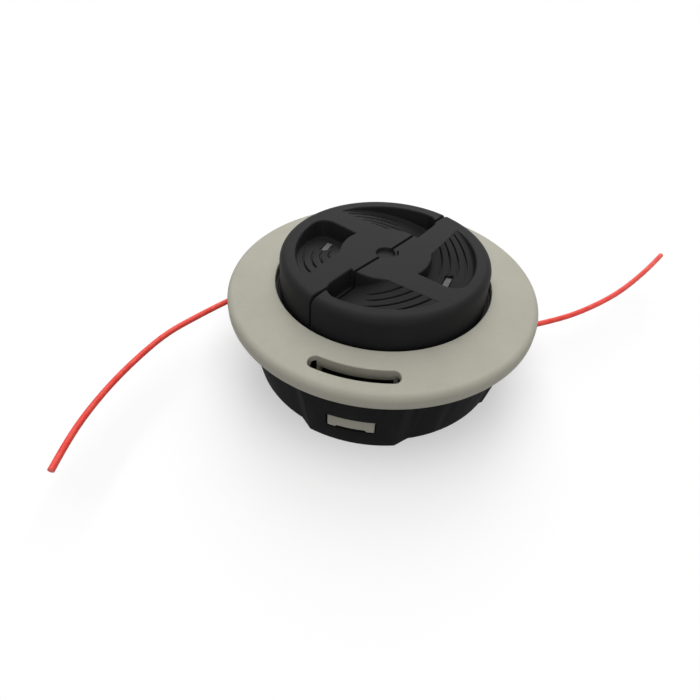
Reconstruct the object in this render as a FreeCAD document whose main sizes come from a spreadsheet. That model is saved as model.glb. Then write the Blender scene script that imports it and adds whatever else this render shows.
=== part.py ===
import FreeCAD, Part
import Sketcher
import math
import os

# Bump feed trimmer head: a two-line spool in a latched housing, which feeds line when its knob is tapped.
# Millimetres and degrees. +Z runs along the drive axis towards the knob, and z = 0 is the plane that the
# housing stands on. Angles are counted about +Z from +X.

doc = FreeCAD.newDocument("trimmer_head")
sheet = doc.addObject("Spreadsheet::Sheet", "sizes")

SIZES = {
    # how far a cutting shape runs past the face that it cuts
    "cut_margin": 1.0,
    # housing
    "base_radius": 54.2,
    "rim_radius": 60.3,
    "housing_height": 33.4,
    "housing_wall": 2.4,
    "foot_height": 2.0,
    "foot_width": 4.0,
    "floor_thickness": 2.5,
    "post_radius": 10.5,
    "post_top": 30.0,
    "hub_radius": 14.0,
    "hub_recess": 0.5,
    "base_round": 0.8,
    "rib_count": 12,
    "rib_thickness": 1.8,
    # latches
    "latch_angle": 263.0,
    "block_step": 2.7,
    "block_span": 35.0,
    "block_end_slope": 2.6,
    "window_span": 19.0,
    "window_bottom": 9.6,
    "window_height": 8.2,
    "tongue_inner": 51.1,
    "tongue_thickness": 2.3,
    "tongue_span": 33.0,
    "tongue_bottom": 8.6,
    "lug_reach": 5.2,
    "lug_gap": 0.4,
    "lug_foot_height": 0.8,
    "lug_foot_span": 3.4,
    # arbor bush
    "bush_across_corners": 19.6,
    "bush_length": 25.5,
    "thread_radius": 4.46,
    # eyelets
    "eyelet_angle": 175.0,
    "eyelet_drop": 10.4,
    "eyelet_bore": 3.3,
    "eyelet_sleeve": 4.2,
    "eyelet_flange": 5.4,
    "eyelet_flange_thickness": 1.0,
    "eyelet_proud": 0.6,
    "eyelet_length": 3.8,
    "eyelet_fit": 0.05,
    "eyelet_boss_wall": 1.4,
    "eyelet_block_angle": 169.0,
    "eyelet_block_step": 0.7,
    "eyelet_block_span": 40.0,
    # spring and washer
    "washer_thickness": 1.0,
    "washer_inner": 11.0,
    "washer_outer": 15.0,
    "spring_radius": 13.2,
    "spring_wire": 0.8,
    "spring_turns": 5,
    "spring_height": 15.0,
    # spool
    "press_travel": 5.0,
    "bore_clearance": 0.2,
    "spool_top": 34.6,
    "spool_flange": 50.0,
    "lower_flange": 48.0,
    "middle_flange": 44.0,
    "flange_thickness": 2.0,
    "drum_radius": 20.0,
    "spring_well": 15.6,
    "winding_radius": 34.0,
    "winding_slack": 0.05,
    "hook_angle": 340.7,
    "hook_radius": 26.8,
    "hook_width": 2.4,
    "hook_length": 6.5,
    "hook_top": 46.8,
    "hook_clearance": 0.4,
    # dogs on the spool, the housing floor and the cover
    "dog_count": 8,
    "dog_height": 1.5,
    "dog_length": 7.0,
    "dog_width": 3.0,
    "upper_dog_inner": 46.0,
    "lower_dog_inner": 40.5,
    "dog_gap": 0.3,
    # cover ring
    "ring_overhang": 4.7,
    "ring_bottom": 31.5,
    "ring_rim_top": 37.4,
    "ring_hole": 45.0,
    "ring_hole_top": 40.6,
    "ring_lip": 1.7,
    "ring_round": 3.0,
    "hole_round": 0.4,
    "ring_plate": 2.7,
    "dog_seat_margin": 1.5,
    "skirt_thickness": 1.8,
    "skirt_depth": 5.6,
    "skirt_clearance": 0.3,
    "slot_angle": 262.3,
    "slot_span": 35.0,
    "slot_width": 5.3,
    # knob
    "knob_radius": 42.8,
    "knob_draft": 0.5,
    "knob_top": 53.1,
    "knob_dish": 0.8,
    "knob_round": 3.0,
    "knob_wall": 2.6,
    "knob_plate": 2.6,
    "pocket_count": 4,
    "pocket_inner": 18.5,
    "pocket_outer": 36.3,
    "pocket_depth": 9.2,
    "pocket_wall": 2.8,
    "ramp_end_depth": 0.3,
    "deep_wall_turn": 237.0,
    "deep_wall_offset": 3.4,
    "ramp_end_turn": 329.6,
    "ramp_end_offset": 14.8,
    "ramp_margin": 4.0,
    "pocket_corner": 6.0,
    "groove_first": 22.7,
    "groove_spacing": 3.4,
    "groove_count": 4,
    "groove_width": 0.8,
    "groove_deep_end": 8.3,
    "groove_shallow_end": 1.9,
    "slit_angle": 53.3,
    "slit_width": 1.1,
    "slit_depth": 14.0,
    "recess_radius": 4.0,
    "recess_depth": 1.5,
    "notch_radius": 4.9,
    "notch_length": 3.4,
    "notch_width": 0.6,
    "notch_start": -1.13,
    # line
    "line_radius": 1.2,
    "line_bend_share": 0.45,
}
for row, (alias, value) in enumerate(SIZES.items(), 1):
    sheet.set("A%d" % row, alias)
    sheet.set("B%d" % row, str(value))
    sheet.setAlias("B%d" % row, alias)
doc.recompute()

PLACES = {"x": "Placement.Base.x", "y": "Placement.Base.y", "z": "Placement.Base.z",
          "turn": "Placement.Rotation.Angle"}


def worked(expression):
    """The present value of an expression over the sheet's sizes."""
    return float(sheet.evalExpression(expression))


def primitive(kind, name, **sizes):
    """A Part primitive whose sizes and place follow expressions."""
    solid = doc.addObject("Part::" + kind, name)
    for prop, expression in sizes.items():
        solid.setExpression(PLACES.get(prop, prop), expression)
    return solid


def combined(kind, name, shapes):
    """A union or an intersection of two or more shapes."""
    solid = doc.addObject("Part::" + kind, name)
    solid.Shapes = shapes
    return solid


def cut(name, base, tool):
    solid = doc.addObject("Part::Cut", name)
    solid.Base = base
    solid.Tool = tool
    return solid


def turned(source, name, angle):
    """A copy of a shape, turned about the head's axis."""
    copy = doc.addObject("App::Link", name)
    copy.setLink(source)
    copy.LinkTransform = True
    copy.setExpression("Placement.Rotation.Angle", angle)
    return copy


def around(source, name, count, first="0"):
    """Evenly spaced copies of a shape round the head's axis."""
    return [turned(source, "%s_%d" % (name, k), "%s + 360 * %d / %d" % (first, k, count)) for k in range(count)]


def outline(body, name, plane, points, offset=FreeCAD.Placement(), moves={}):
    """A closed outline of straight edges on one of the body's own planes, each corner a pair of expressions.
    The moves set the outline off from its plane."""
    sketch = body.newObject("Sketcher::SketchObject", name)
    support = next(f for f in body.Origin.OriginFeatures if f.Role == plane)
    sketch.AttachmentSupport = [(support, "")]
    sketch.MapMode = "FlatFace"
    sketch.AttachmentOffset = offset
    for prop, expression in moves.items():
        sketch.setExpression("AttachmentOffset." + prop, expression)
    corners = [FreeCAD.Vector(worked(x), worked(y), 0) for x, y in points]
    for here, there in zip(corners, corners[1:] + corners[:1]):
        sketch.addGeometry(Part.LineSegment(here, there))
    for i, pair in enumerate(points):
        before = (i - 1) % len(points)
        sketch.addConstraint(Sketcher.Constraint("Coincident", before, 2, i, 1))
        for kind, zero_axis, expression in zip(("DistanceX", "DistanceY"), (-2, -1), pair):
            if expression == "0":
                sketch.addConstraint(Sketcher.Constraint("PointOnObject", i, 1, zero_axis))
            else:
                n = sketch.addConstraint(Sketcher.Constraint(kind, -1, 1, i, 1, worked(expression)))
                sketch.setExpression("Constraints[%d]" % n, expression)
    return sketch


def turned_body(name, points):
    """A body turned about the head's axis, from corners given as radius and height."""
    body = doc.addObject("PartDesign::Body", name)
    sketch = outline(body, name + "_profile", "XZ_Plane", points)
    revolution = body.newObject("PartDesign::Revolution", name + "_turned")
    revolution.Profile = sketch
    revolution.ReferenceAxis = (sketch, ["V_Axis"])
    revolution.Angle = 360
    doc.recompute()
    return body


def rounded(body, name, radius, *rims):
    """Rounds the rims of a turned body that lie at the given radii and heights."""
    base = body.Tip
    wanted = [(worked(r), worked(z)) for r, z in rims]
    edges = []
    for n, edge in enumerate(base.Shape.Edges, 1):
        box = edge.BoundBox
        for r, z in wanted:
            if abs(box.ZMax - z) < 1e-6 and abs(box.ZMin - z) < 1e-6 and abs(box.XMax - r) < 1e-6:
                edges.append("Edge%d" % n)
    fillet = body.newObject("PartDesign::Fillet", name)
    fillet.Base = (base, edges)
    fillet.setExpression("Radius", radius)
    doc.recompute()
    return body


def sector(name, inner, outer, bottom, height, span, middle):
    """A piece of a ring between two radii, centred on an angle."""
    disc = primitive("Cylinder", name + "_disc", Radius=outer, Height=height, Angle=span, z=bottom,
                     turn="%s - (%s) / 2" % (middle, span))
    core = primitive("Cylinder", name + "_core", Radius=inner, Height=height, z=bottom)
    return cut(name, disc, core)


def band(name, inner, outer, bottom, height):
    """A full ring between two radii."""
    disc = primitive("Cylinder", name + "_disc", Radius=outer, Height=height, z=bottom)
    core = primitive("Cylinder", name + "_core", Radius=inner, Height=height, z=bottom)
    return cut(name, disc, core)


def radial_cylinder(name, radius, start, end, height):
    """A cylinder along +X from one distance to another, at a height."""
    solid = doc.addObject("Part::Cylinder", name)
    solid.Placement = FreeCAD.Placement(FreeCAD.Vector(), FreeCAD.Rotation(FreeCAD.Vector(0, 1, 0), 90))
    solid.setExpression("Radius", radius)
    solid.setExpression("Height", "%s - (%s)" % (end, start))
    solid.setExpression("Placement.Base.x", start)
    solid.setExpression("Placement.Base.z", height)
    return solid


def dog(name, inner, face, height):
    """One ratchet dog on a level face: a steep flank at the start and a long ramp after it. A negative height
    points down."""
    tooth = doc.addObject("Part::Wedge", name)
    tooth.setExpression("Xmin", inner)
    tooth.setExpression("Xmax", "%s + sizes.dog_width" % inner)
    tooth.setExpression("X2min", inner)
    tooth.setExpression("X2max", "%s + sizes.dog_width" % inner)
    tooth.Ymin = 0
    tooth.setExpression("Ymax", "sizes.dog_length")
    low, high = ("0", height) if worked(height) > 0 else (height, "0")
    tooth.setExpression("Zmin", low)
    tooth.setExpression("Zmax", high)
    tooth.Z2min = 0
    tooth.Z2max = 0
    tooth.setExpression("Placement.Base.z", face)
    return tooth


# Heights and slopes that several pieces share.
FLOOR_TOP = "(sizes.foot_height + sizes.floor_thickness)"
FLARE = "((sizes.rim_radius - sizes.base_radius) / sizes.housing_height)"
SPOOL_BOTTOM = "(%s + 2 * sizes.dog_height + sizes.dog_gap + sizes.press_travel)" % FLOOR_TOP
SPRING_BOTTOM = "(%s + sizes.washer_thickness)" % FLOOR_TOP
SPRING_SEAT = "(%s + sizes.spring_height)" % SPRING_BOTTOM
RING_RADIUS = "(sizes.rim_radius + sizes.ring_overhang)"
EYELET_HEIGHT = "(sizes.housing_height - sizes.eyelet_drop)"
EYELET_SEAT = "(sizes.base_radius + %s * %s + sizes.eyelet_proud)" % (FLARE, EYELET_HEIGHT)
EYELET_INNER_END = "(%s - sizes.eyelet_length)" % EYELET_SEAT
TONGUE_OUTER = "(sizes.tongue_inner + sizes.tongue_thickness)"
COVER_UNDERSIDE = "(sizes.spool_top + 2 * sizes.dog_height + sizes.dog_gap)"
POCKET_FLOOR = "(sizes.knob_top - sizes.pocket_depth)"


def housing():
    """The moulded cup: foot ring, ribbed underside, post, flared wall, latch blocks with windows, and a lower
    block with a seat for each eyelet."""
    wall_foot = "sizes.base_radius - sizes.housing_wall + %s * %s" % (FLARE, FLOOR_TOP)
    foot_inner = "sizes.base_radius - sizes.foot_width"
    cup = turned_body("housing_cup", [
        ("0", "sizes.hub_recess"),
        ("sizes.hub_radius", "sizes.hub_recess"),
        ("sizes.hub_radius", "sizes.foot_height"),
        (foot_inner, "sizes.foot_height"),
        (foot_inner, "0"),
        ("sizes.base_radius", "0"),
        ("sizes.rim_radius", "sizes.housing_height"),
        ("sizes.rim_radius - sizes.housing_wall", "sizes.housing_height"),
        (wall_foot, FLOOR_TOP),
        ("sizes.post_radius", FLOOR_TOP),
        ("sizes.post_radius", "sizes.post_top"),
        ("0", "sizes.post_top")])
    rounded(cup, "housing_base_round", "sizes.base_round", ("sizes.base_radius", "0"))

    chamber = primitive("Cone", "wall_chamber", Radius1="sizes.base_radius - sizes.housing_wall",
                        Radius2="sizes.rim_radius - sizes.housing_wall", Height="sizes.housing_height")
    block = cut("block_shell", raised_block("block", "sizes.block_step", "sizes.block_span", "0"), chamber)
    hollow_span = "(sizes.block_span - 2 * sizes.housing_wall / sizes.base_radius * 180 / pi)"
    hollow = raised_block("block_hollow", "(sizes.block_step - sizes.housing_wall)", hollow_span, FLOOR_TOP)
    lower_block = raised_block("eyelet_block", "sizes.eyelet_block_step", "sizes.eyelet_block_span", "0")
    eyelet_block = cut("eyelet_block_shell", lower_block, chamber)
    window = sector("window", "sizes.tongue_inner", RING_RADIUS, "sizes.window_bottom",
                    "sizes.window_height", "sizes.window_span", "0")
    rib = primitive("Box", "rib", Length="%s - sizes.hub_radius + 2 * sizes.base_round" % foot_inner,
                    Width="sizes.rib_thickness", Height="sizes.foot_height - sizes.hub_recess",
                    x="sizes.hub_radius - sizes.base_round", y="-sizes.rib_thickness / 2", z="sizes.hub_recess")
    floor_dog = dog("floor_dog", "sizes.lower_dog_inner", FLOOR_TOP, "sizes.dog_height")
    boss = radial_cylinder("eyelet_boss", "sizes.eyelet_flange + sizes.eyelet_boss_wall",
                           "%s - sizes.housing_wall" % EYELET_SEAT, EYELET_SEAT, EYELET_HEIGHT)
    hole = radial_cylinder("eyelet_hole", "sizes.eyelet_sleeve + sizes.eyelet_fit",
                           EYELET_INNER_END, EYELET_SEAT, EYELET_HEIGHT)
    face = radial_cylinder("eyelet_face", "sizes.eyelet_flange + sizes.eyelet_proud",
                           EYELET_SEAT, "%s + sizes.eyelet_length" % EYELET_SEAT, EYELET_HEIGHT)
    socket = primitive("Prism", "bush_socket", Circumradius="sizes.bush_across_corners / 2",
                       Height="sizes.bush_length", z="sizes.hub_recess")
    socket.Polygon = 6

    added = [cup] + around(block, "latch_block", 2, "sizes.latch_angle")
    added += around(eyelet_block, "eyelet_block", 2, "sizes.eyelet_block_angle")
    added += around(boss, "eyelet_boss", 2, "sizes.eyelet_angle")
    added += around(rib, "floor_rib", int(worked("sizes.rib_count")))
    added += around(floor_dog, "floor_dog", int(worked("sizes.dog_count")))
    removed = [socket] + around(hollow, "latch_hollow", 2, "sizes.latch_angle")
    removed += around(window, "latch_window", 2, "sizes.latch_angle")
    removed += around(hole, "eyelet_hole", 2, "sizes.eyelet_angle")
    removed += around(face, "eyelet_face", 2, "sizes.eyelet_angle")
    return cut("housing", combined("MultiFuse", "housing_added", added),
               combined("MultiFuse", "housing_removed", removed))


def raised_block(name, step, span, bottom):
    """A sector of the flared wall that stands out by a step, centred on +X, with ends that slope down to the
    wall and on into it."""
    low = "(sizes.base_radius + %s + %s * (%s))" % (step, FLARE, bottom)
    high = "(sizes.rim_radius + %s)" % step
    cone = primitive("Cone", name + "_cone", Radius1=low, Radius2=high,
                     Height="sizes.housing_height - (%s)" % bottom, z=bottom)
    half = "(%s / 2)" % span
    reach = "2 * sizes.block_step"
    lean = "%s * sizes.block_end_slope / sizes.base_radius * 180 / pi" % reach
    body = doc.addObject("PartDesign::Body", name + "_wedge")
    levels = []
    for level, radius, height in (("foot", low, bottom), ("top", high, "sizes.housing_height")):
        side = [("(%s + %s)" % (radius, reach), "(%s - %s)" % (half, lean)), (radius, half),
                ("(%s - %s)" % (radius, reach), "(%s + %s)" % (half, lean))]
        points = [("%s * cos(%s)" % (r, a), "%s * sin(%s)" % (r, a)) for r, a in side]
        points += [(x, "-(%s)" % y) for x, y in reversed(points)]
        levels.append(outline(body, "%s_%s" % (name, level), "XY_Plane", points, FreeCAD.Placement(),
                              {"Base.z": height}))
    return combined("MultiCommon", name, [cone, lofted(body, levels)])


def arbor_bush():
    """Hexagon steel bar with the drive thread's hole, shown at its minor diameter."""
    bar = primitive("Prism", "bush_bar", Circumradius="sizes.bush_across_corners / 2",
                    Height="sizes.bush_length", z="sizes.hub_recess")
    bar.Polygon = 6
    hole = primitive("Cylinder", "bush_hole", Radius="sizes.thread_radius", Height="sizes.bush_length",
                     z="sizes.hub_recess")
    return cut("arbor_bush", bar, hole)


def eyelet(name, angle):
    """A flanged steel sleeve in the housing wall, turned about its own axis along +X and set at its angle."""
    body = doc.addObject("PartDesign::Body", name)
    flange_outer = "%s + sizes.eyelet_flange_thickness" % EYELET_SEAT
    sketch = outline(body, name + "_profile", "XZ_Plane", [
        (EYELET_INNER_END, "sizes.eyelet_bore"),
        (flange_outer, "sizes.eyelet_bore"),
        (flange_outer, "sizes.eyelet_flange"),
        (EYELET_SEAT, "sizes.eyelet_flange"),
        (EYELET_SEAT, "sizes.eyelet_sleeve"),
        (EYELET_INNER_END, "sizes.eyelet_sleeve")])
    revolution = body.newObject("PartDesign::Revolution", name + "_turned")
    revolution.Profile = sketch
    revolution.ReferenceAxis = (sketch, ["H_Axis"])
    revolution.Angle = 360
    body.setExpression("Placement.Base.z", EYELET_HEIGHT)
    body.setExpression("Placement.Rotation.Angle", angle)
    doc.recompute()
    return body


def spring_washer():
    return band("spring_washer", "sizes.washer_inner", "sizes.washer_outer", FLOOR_TOP,
                "sizes.washer_thickness")


def compression_spring():
    """Round wire coiled from half turns between the washer and the spool, each an arc that climbs half a
    pitch."""
    wire = worked("sizes.spring_wire")
    radius = worked("sizes.spring_radius")
    low = worked(SPRING_BOTTOM) + wire
    halves = int(worked("2 * sizes.spring_turns"))
    rise = (worked("sizes.spring_height") - 2 * wire) / halves
    bulge = math.hypot(radius, rise / 2)

    def on_coil(half_turns, distance):
        angle = math.pi * half_turns
        return FreeCAD.Vector(distance * math.cos(angle), distance * math.sin(angle), low + rise * half_turns)

    arcs = [Part.Arc(on_coil(k, radius), on_coil(k + 0.5, bulge), on_coil(k + 1, radius)).toShape()
            for k in range(halves)]
    path = Part.Wire(arcs)
    section = Part.Wire(Part.makeCircle(wire, on_coil(0, radius), FreeCAD.Vector(0, 1, 0)))
    spring = doc.addObject("Part::Feature", "compression_spring")
    spring.Shape = path.makePipeShell([section], True, False)
    return spring


def spool():
    """The moulded reel: three flanges, drum, bearing bore, spring well, dogs on both faces, two snap hooks."""
    middle = "((sizes.spool_top + %s) / 2)" % SPOOL_BOTTOM
    half = "sizes.flange_thickness / 2"
    bore = "sizes.post_radius + sizes.bore_clearance"
    reel = turned_body("spool_reel", [
        (bore, SPRING_SEAT),
        (bore, "sizes.spool_top"),
        ("sizes.spool_flange", "sizes.spool_top"),
        ("sizes.spool_flange", "sizes.spool_top - sizes.flange_thickness"),
        ("sizes.drum_radius", "sizes.spool_top - sizes.flange_thickness"),
        ("sizes.drum_radius", "%s + %s" % (middle, half)),
        ("sizes.middle_flange", "%s + %s" % (middle, half)),
        ("sizes.middle_flange", "%s - %s" % (middle, half)),
        ("sizes.drum_radius", "%s - %s" % (middle, half)),
        ("sizes.drum_radius", "%s + sizes.flange_thickness" % SPOOL_BOTTOM),
        ("sizes.lower_flange", "%s + sizes.flange_thickness" % SPOOL_BOTTOM),
        ("sizes.lower_flange", SPOOL_BOTTOM),
        ("sizes.spring_well", SPOOL_BOTTOM),
        ("sizes.spring_well", SPRING_SEAT)])
    upper_dog = dog("upper_dog", "sizes.upper_dog_inner", "sizes.spool_top", "sizes.dog_height")
    lower_dog = dog("lower_dog", "sizes.lower_dog_inner", SPOOL_BOTTOM, "-sizes.dog_height")
    hook = primitive("Box", "snap_hook", Length="sizes.hook_width", Width="sizes.hook_length",
                     Height="sizes.hook_top - sizes.spool_top", x="sizes.hook_radius - sizes.hook_width / 2",
                     y="-sizes.hook_length / 2", z="sizes.spool_top")
    dogs = int(worked("sizes.dog_count"))
    parts = [reel] + around(upper_dog, "spool_upper_dog", dogs) + around(lower_dog, "spool_lower_dog", dogs)
    return combined("MultiFuse", "spool", parts + around(hook, "spool_hook", 2, "sizes.hook_angle"))


def line_winding(name, bottom, top):
    """The stored turns of one chamber as one ring."""
    return band(name, "sizes.drum_radius + sizes.winding_slack", "sizes.winding_radius", bottom,
                "%s - (%s)" % (top, bottom))


def line_windings():
    middle = "((sizes.spool_top + %s) / 2)" % SPOOL_BOTTOM
    half = "sizes.flange_thickness / 2"
    lower = line_winding("line_winding_lower", "%s + sizes.flange_thickness" % SPOOL_BOTTOM,
                         "%s - %s" % (middle, half))
    upper = line_winding("line_winding_upper", "%s + %s" % (middle, half),
                         "sizes.spool_top - sizes.flange_thickness")
    return [lower, upper]


def cover_ring():
    """The moulded cover: crowned plate with a rounded rim, a centring skirt, dogs under the plate, and an arc
    slot above each latch tongue."""
    wall_inner = "sizes.rim_radius - sizes.housing_wall - %s * sizes.skirt_depth" % FLARE
    skirt_outer = "%s - sizes.skirt_clearance" % wall_inner
    skirt_inner = "%s - sizes.skirt_thickness" % skirt_outer
    lip_inner = "%s - sizes.ring_lip" % RING_RADIUS
    crown = "((sizes.ring_hole_top - sizes.ring_rim_top) / (%s - sizes.ring_hole))" % RING_RADIUS
    under_skirt = "sizes.ring_hole_top - %s * (%s - sizes.ring_hole) - sizes.ring_plate" % (crown, skirt_inner)
    dogs_end = "(sizes.upper_dog_inner + sizes.dog_width + sizes.dog_seat_margin)"
    plate = turned_body("cover_plate", [
        ("sizes.ring_hole", "sizes.ring_hole_top"),
        (RING_RADIUS, "sizes.ring_rim_top"),
        (RING_RADIUS, "sizes.ring_bottom"),
        (lip_inner, "sizes.ring_bottom"),
        (lip_inner, "sizes.housing_height"),
        (skirt_outer, "sizes.housing_height"),
        (skirt_outer, "sizes.housing_height - sizes.skirt_depth"),
        (skirt_inner, "sizes.housing_height - sizes.skirt_depth"),
        (skirt_inner, under_skirt),
        (dogs_end, COVER_UNDERSIDE),
        ("sizes.ring_hole", COVER_UNDERSIDE)])
    rounded(plate, "rim_round", "sizes.ring_round", (RING_RADIUS, "sizes.ring_rim_top"))
    rounded(plate, "hole_round", "sizes.hole_round", ("sizes.ring_hole", "sizes.ring_hole_top"))

    cover_dog = dog("cover_dog", "sizes.upper_dog_inner", COVER_UNDERSIDE, "-sizes.dog_height")
    added = [plate] + around(cover_dog, "cover_dog", int(worked("sizes.dog_count")))
    slotted = cut("cover_slotted", combined("MultiFuse", "cover_added", added),
                  combined("MultiFuse", "cover_slots", around(arc_slot(), "cover_slot", 2, "sizes.slot_angle")))
    tongues = around(latch_tongue(), "cover_tongue", 2, "sizes.latch_angle")
    return combined("MultiFuse", "cover_ring", [slotted] + tongues)


def arc_slot():
    """A round-ended slot along an arc, centred on +X."""
    half_width = "sizes.slot_width / 2"
    middle = "(%s + %s)" % (TONGUE_OUTER, half_width)
    end = "(sizes.slot_span / 2 - %s / %s * 180 / pi)" % (half_width, middle)
    bottom = "sizes.housing_height - sizes.skirt_depth - sizes.cut_margin"
    height = "sizes.ring_hole_top - (%s)" % bottom
    arc = sector("slot_arc", TONGUE_OUTER, "%s + sizes.slot_width" % TONGUE_OUTER, bottom, height,
                 "2 * %s" % end, "0")
    ends = [primitive("Cylinder", "slot_end_" + side, Radius=half_width, Height=height, z=bottom,
                      x="%s * cos(%s)" % (middle, end), y="%s%s * sin(%s)" % (sign, middle, end))
            for side, sign in (("left", "-"), ("right", ""))]
    return combined("MultiFuse", "arc_slot", [arc] + ends)


def latch_tongue():
    """A sprung tongue below the slot, with a lug that fills the housing's window and a foot at each end."""
    crown = "((sizes.ring_hole_top - sizes.ring_rim_top) / (%s - sizes.ring_hole))" % RING_RADIUS
    root = "sizes.ring_hole_top - %s * (%s - sizes.ring_hole) - sizes.ring_plate / 2" % (crown, TONGUE_OUTER)
    leaf = sector("tongue_leaf", "sizes.tongue_inner", TONGUE_OUTER, "sizes.tongue_bottom",
                  "%s - sizes.tongue_bottom" % root, "sizes.tongue_span", "0")
    lug_outer = "%s + sizes.lug_reach" % TONGUE_OUTER
    foot_bottom = "sizes.window_bottom + sizes.lug_gap"
    lug_bottom = "%s + sizes.lug_foot_height" % foot_bottom
    lug_top = "sizes.window_bottom + sizes.window_height - sizes.lug_gap"
    side_gap = "sizes.lug_gap / sizes.base_radius * 180 / pi"
    span = "(sizes.window_span - 2 * %s)" % side_gap
    lug = sector("lug", TONGUE_OUTER, lug_outer, lug_bottom, "%s - (%s)" % (lug_top, lug_bottom), span, "0")
    feet = [sector("lug_foot_" + side, TONGUE_OUTER, lug_outer, foot_bottom, "sizes.lug_foot_height",
                   "sizes.lug_foot_span", "%s(%s - sizes.lug_foot_span) / 2" % (sign, span))
            for side, sign in (("left", "-"), ("right", ""))]
    return combined("MultiFuse", "latch_tongue", [leaf, lug] + feet)


def bump_knob():
    """The moulded knob: a drafted cup with a dished top, four ramped finger pockets with grooves, the slit
    across it, the centre recess and the slots for the spool's hooks."""
    skirt = "sizes.knob_radius + sizes.knob_draft"
    under = "sizes.knob_top - sizes.knob_plate"
    shell = turned_body("knob_shell", [
        ("0", "sizes.knob_top - sizes.knob_dish"),
        ("sizes.knob_radius", "sizes.knob_top"),
        (skirt, "sizes.spool_top"),
        ("%s - sizes.knob_wall" % skirt, "sizes.spool_top"),
        ("sizes.knob_radius - sizes.knob_wall", under),
        ("0", "%s - sizes.knob_dish" % under)])
    rounded(shell, "knob_round", "sizes.knob_round", ("sizes.knob_radius", "sizes.knob_top"))

    pockets = int(worked("sizes.pocket_count"))
    pocket_ramp = ramp("pocket_ramp", "sizes.pocket_depth", "sizes.ramp_end_depth", "0")
    tub_ramp = ramp("tub_ramp", "(sizes.pocket_depth + sizes.pocket_wall)",
                    "(sizes.ramp_end_depth + sizes.pocket_wall)", "sizes.pocket_wall")
    tub_bottom = "(%s - sizes.pocket_wall)" % POCKET_FLOOR
    tub_top = "(sizes.knob_top - sizes.knob_dish - sizes.knob_plate / 2)"
    tub_ring = band("tub_ring", "sizes.pocket_inner - sizes.pocket_wall",
                    "sizes.pocket_outer + sizes.pocket_wall", tub_bottom, "%s - %s" % (tub_top, tub_bottom))
    tub = combined("MultiCommon", "pocket_tub", [tub_ramp, tub_ring])
    solid = combined("MultiFuse", "knob_solid", [shell] + around(tub, "knob_tub", pockets))

    height = "sizes.pocket_depth + sizes.cut_margin"
    ring = band("pocket_ring", "sizes.pocket_inner", "sizes.pocket_outer", POCKET_FLOOR, height)
    groove_inner = ["sizes.groove_first + %d * sizes.groove_spacing" % k
                    for k in range(int(worked("sizes.groove_count")))]
    grooves = [band("groove_ring_%d" % k, inner, inner + " + sizes.groove_width", POCKET_FLOOR, height)
               for k, inner in enumerate(groove_inner)]
    pocket = cut("finger_pocket", combined("MultiCommon", "pocket_space", [pocket_ramp, ring]), pocket_corner())
    groove_ramp = ramp("groove_ramp", "sizes.groove_deep_end", "sizes.groove_shallow_end", "0")
    groove = combined("MultiCommon", "pocket_grooves",
                      [groove_ramp, combined("MultiFuse", "groove_rings", grooves)])

    slit_bar = primitive("Box", "knob_slit_bar", Length="4 * sizes.knob_radius", Width="sizes.slit_width",
                         Height="sizes.slit_depth + sizes.cut_margin", x="-2 * sizes.knob_radius",
                         y="-sizes.slit_width / 2", z="sizes.knob_top - sizes.slit_depth")
    slit = turned(slit_bar, "knob_slit", "sizes.slit_angle")
    hub = primitive("Cylinder", "slit_hub", Radius="sizes.recess_radius", Height="2 * sizes.slit_depth",
                    z="sizes.knob_top - sizes.slit_depth")
    recess_height = "sizes.recess_depth + sizes.cut_margin"
    recess_floor = "sizes.knob_top - sizes.knob_dish - sizes.recess_depth"
    recess = primitive("Cylinder", "knob_recess", Radius="sizes.recess_radius", Height=recess_height,
                       z=recess_floor)
    notch = primitive("Box", "knob_notch", Length="sizes.notch_width", Width="sizes.notch_length",
                      Height=recess_height, x="sizes.notch_radius - sizes.notch_width / 2",
                      y="sizes.notch_start", z=recess_floor)
    hook_slot = primitive("Box", "hook_slot", Length="sizes.hook_width + 2 * sizes.hook_clearance",
                          Width="sizes.hook_length + 2 * sizes.hook_clearance",
                          Height="sizes.knob_top - sizes.spool_top",
                          x="sizes.hook_radius - sizes.hook_width / 2 - sizes.hook_clearance",
                          y="-sizes.hook_length / 2 - sizes.hook_clearance", z="sizes.spool_top")
    removed = [cut("knob_slits", slit, hub), recess, notch]
    removed += around(hook_slot, "knob_hook_slot", 2, "sizes.hook_angle")
    removed += around(pocket, "knob_pocket", pockets)
    removed += around(groove, "knob_groove", pockets)
    return cut("bump_knob", solid, combined("MultiFuse", "knob_removed", removed))


def ramp(name, deep_end, shallow_end, back):
    """The space above one pocket's ramp, which climbs from its depth at the upright end wall to its depth at
    the line where the pocket runs out, turning as it climbs. Back moves the end wall away from the ramp."""
    body = doc.addObject("PartDesign::Body", name)
    above = "sizes.knob_top + sizes.cut_margin"
    sections = []
    for quarter in range(5):
        way = "(%d / 4)" % quarter
        turn = "(sizes.deep_wall_turn + %s * (sizes.ramp_end_turn - sizes.deep_wall_turn))" % way
        push = "(sizes.deep_wall_offset + %s * (sizes.ramp_end_offset - sizes.deep_wall_offset))" % way
        near = "sqrt(sizes.pocket_inner ^ 2 - %s ^ 2) - sizes.ramp_margin" % push
        far = "sqrt(sizes.pocket_outer ^ 2 - %s ^ 2) + sizes.ramp_margin" % push
        low = "sizes.knob_top - (%s + %s * (%s - %s))" % (deep_end, way, shallow_end, deep_end)
        shift = "(%s + %s)" % (push, back if quarter == 0 else "0")
        tilt = FreeCAD.Placement(FreeCAD.Vector(), FreeCAD.Rotation(FreeCAD.Vector(0, 1, 0), 1))
        corners = [(near, low), (far, low), (far, above), (near, above)]
        moves = {"Rotation.Angle": turn, "Base.x": "%s * sin(%s)" % (shift, turn),
                 "Base.z": "%s * cos(%s)" % (shift, turn)}
        sections.append(outline(body, "%s_%d" % (name, quarter), "XZ_Plane", corners, tilt, moves))
    return lofted(body, sections)


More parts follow.
